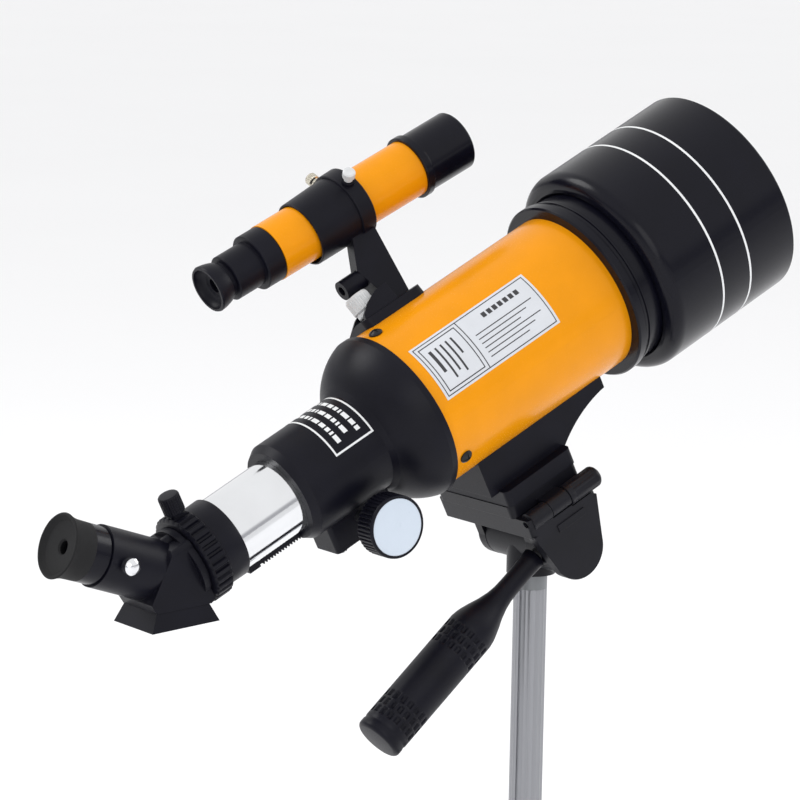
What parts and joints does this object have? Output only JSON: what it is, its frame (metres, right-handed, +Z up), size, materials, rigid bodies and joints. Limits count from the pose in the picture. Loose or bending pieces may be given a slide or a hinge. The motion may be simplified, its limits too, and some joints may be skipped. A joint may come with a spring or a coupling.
{
  "type": "telescope on tripod",
  "caption": "Small refracting telescope with finder scope and star diagonal on a pan and tilt head with a sliding column and folding legs.",
  "frame": {"origin": "on the floor, in the middle of the rectangle the whole object covers, at rest", "axes": "+Z up, +Y the way the telescope looks over the floor, +X its right-hand side"},
  "size_m": [0.2914, 0.4154, 0.5478],
  "materials": {
    "orange_paint": "glossy yellow-orange lacquer on rolled aluminium tube",
    "black_plastic": "moulded black plastic, slight sheen",
    "gloss_black": "smooth black moulding",
    "chrome": "bright plated tube",
    "steel": "plated steel fasteners",
    "black_steel": "blackened steel screws",
    "aluminium": "satin anodised extrusion",
    "head_grey": "black moulded head parts",
    "collar_grey": "smooth grey collar",
    "rubber": "soft matt rubber",
    "glass": "coated optical glass",
    "nickel": "knurled nickel screw",
    "clear_knob": "pale plastic screw head",
    "blue_cap": "pale blue pressed cap"
  },
  "bodies": {
    "tripod": {"tripod_crown": "head_grey", "leg_pivot_pins": "steel"},
    "lock_knob": {"column_lock_knob": "black_plastic"},
    "leg_1_body": {"leg_1": "aluminium", "rubber_foot_1": "rubber"},
    "leg_2_body": {"leg_2": "aluminium", "rubber_foot_2": "rubber"},
    "leg_3_body": {"leg_3": "aluminium", "rubber_foot_3": "rubber"},
    "column": {"center_column": "aluminium", "column_collar": "collar_grey", "column_end_cap": "black_plastic"},
    "head": {"head_base": "head_grey"},
    "tilt_part": {"tilt_bracket": "head_grey", "tilt_bolt": "steel", "flip_hinge_pin": "steel"},
    "handle": {"handle_rod": "steel", "handle_grip": "black_plastic"},
    "flip_knob": {"flip_lock_knob": "head_grey"},
    "telescope": {"platform": "head_grey", "tube_bracket": "black_plastic", "main_tube": "orange_paint", "tube_screws": "black_steel", "rear_cell": "black_plastic", "pinion_cover": "black_plastic", "pinion_cover_screws": "steel", "lens_cell": "gloss_black", "objective_doublet": "glass", "lens_retaining_ring": "black_plastic", "dew_shield": "gloss_black", "finder_bracket": "black_plastic", "finder_tube": "orange_paint", "finder_objective_cell": "gloss_black", "finder_objective": "glass", "finder_o_ring": "rubber", "finder_stud": "steel"},
    "camera_screw": {"mount_screw": "steel"},
    "focus_slide": {"drawtube": "chrome", "focus_rack": "black_plastic", "drawtube_collar": "black_plastic"},
    "pinion": {"pinion_shaft": "steel", "focus_knob_right": "black_plastic", "focus_knob_left": "black_plastic", "focus_knob_caps": "blue_cap"},
    "collar_thumbscrew": {"collar_screw": "black_plastic"},
    "diagonal": {"diagonal_body": "black_plastic", "diagonal_prism": "glass", "diagonal_base": "black_plastic"},
    "diagonal_screw": {"diagonal_set_screw": "chrome"},
    "eyepiece": {"eyepiece_body": "gloss_black", "eyepiece_lenses": "glass", "eyecup": "rubber"},
    "finder_ocular": {"finder_eyepiece": "black_plastic", "finder_eye_lens": "glass"},
    "finder_nut": {"finder_thumb_nut": "clear_knob"},
    "aim_screw_left": {"finder_aim_screw_left": "nickel"},
    "aim_screw_right": {"finder_aim_screw_right": "clear_knob"}
  },
  "joints": [
    {"name": "column_lock_turn", "type": "hinge", "parent": "tripod", "child": "lock_knob", "pos_m": [-0.01905, 0.05461, 0.204], "axis": [-0.866, 0.5, 0], "range_deg": [-90, 180]},
    {"name": "leg_1_fold", "type": "hinge", "parent": "tripod", "child": "leg_1_body", "pos_m": [0, 0.06761, 0.19], "axis": [-1, 0, 0], "range_deg": [0, 33.6]},
    {"name": "leg_2_fold", "type": "hinge", "parent": "tripod", "child": "leg_2_body", "pos_m": [-0.02078, 0.03161, 0.19], "axis": [0.5, -0.866, 0], "range_deg": [0, 33.6]},
    {"name": "leg_3_fold", "type": "hinge", "parent": "tripod", "child": "leg_3_body", "pos_m": [0.02078, 0.03161, 0.19], "axis": [0.5, 0.866, 0], "range_deg": [0, 33.6]},
    {"name": "column_height", "type": "slide", "parent": "tripod", "child": "column", "axis": [0, 0, 1], "range_m": [-0.09, 0]},
    {"name": "pan", "type": "hinge", "parent": "column", "child": "head", "pos_m": [0, 0.04361, 0.3364], "axis": [0, 0, 1], "continuous": true},
    {"name": "tilt", "type": "hinge", "parent": "head", "child": "tilt_part", "pos_m": [0, 0.04361, 0.353], "axis": [1, 0, 0], "range_deg": [-45, 33]},
    {"name": "handle_twist", "type": "hinge", "parent": "tilt_part", "child": "handle", "pos_m": [0.02, -0.0052, 0.31773], "axis": [0, -0.757, -0.6534], "range_deg": [-30, 270]},
    {"name": "flip_lock_turn", "type": "hinge", "parent": "tilt_part", "child": "flip_knob", "pos_m": [0.0315, 0.04633, 0.38117], "axis": [0, 0.8949, 0.4462], "range_deg": [-60, 360]},
    {"name": "side_flip", "type": "hinge", "parent": "tilt_part", "child": "telescope", "pos_m": [0.0315, 0.0329, 0.37448], "axis": [0, 0.8949, 0.4462], "range_deg": [0, 90]},
    {"name": "mount_screw_turn", "type": "hinge", "parent": "telescope", "child": "camera_screw", "pos_m": [0, 0.03193, 0.37868], "axis": [0, -0.4462, 0.8949], "continuous": true},
    {"name": "drawtube_travel", "type": "slide", "parent": "telescope", "child": "focus_slide", "axis": [0, 0.8949, 0.4462], "range_m": [-0.025, 0.027]},
    {"name": "focus_turn", "type": "hinge", "parent": "telescope", "child": "pinion", "pos_m": [0, -0.05743, 0.37346], "axis": [-1, 0, 0], "range_deg": [-288.6, 311.5]},
    {"name": "collar_screw_turn", "type": "hinge", "parent": "focus_slide", "child": "collar_thumbscrew", "pos_m": [0.00042, -0.14709, 0.38418], "axis": [0.0175, -0.4461, 0.8948], "range_deg": [-45, 360]},
    {"name": "diagonal_turn", "type": "hinge", "parent": "focus_slide", "child": "diagonal", "pos_m": [0, -0.13284, 0.36447], "axis": [0, 0.8949, 0.4462], "continuous": true},
    {"name": "diagonal_screw_turn", "type": "hinge", "parent": "diagonal", "child": "diagonal_screw", "pos_m": [0.016, -0.17764, 0.36544], "axis": [1, 0, 0], "range_deg": [-45, 360]},
    {"name": "eyepiece_draw", "type": "slide", "parent": "diagonal", "child": "eyepiece", "axis": [0, -0.9483, 0.3173], "range_m": [0, 0.012]},
    {"name": "finder_focus", "type": "slide", "parent": "telescope", "child": "finder_ocular", "axis": [0, -0.91, -0.4147], "range_m": [0, 0.004]},
    {"name": "finder_nut_turn", "type": "hinge", "parent": "telescope", "child": "finder_nut", "pos_m": [-0.02753, -0.03181, 0.45878], "axis": [-0.5736, -0.3655, 0.7331], "range_deg": [-90, 360]},
    {"name": "aim_screw_left_turn", "type": "hinge", "parent": "telescope", "child": "aim_screw_left", "pos_m": [-0.07004, -0.03007, 0.51019], "axis": [-0.866, -0.2231, 0.4475], "range_deg": [-180, 360]},
    {"name": "aim_screw_right_turn", "type": "hinge", "parent": "telescope", "child": "aim_screw_right", "pos_m": [-0.03892, -0.03277, 0.5156], "axis": [0.6157, -0.3516, 0.7052], "range_deg": [-180, 360]}
  ],
  "couplings": [
    {"joint": "focus_turn", "follows": "drawtube_travel", "rad_per_m": 200}
  ]
}
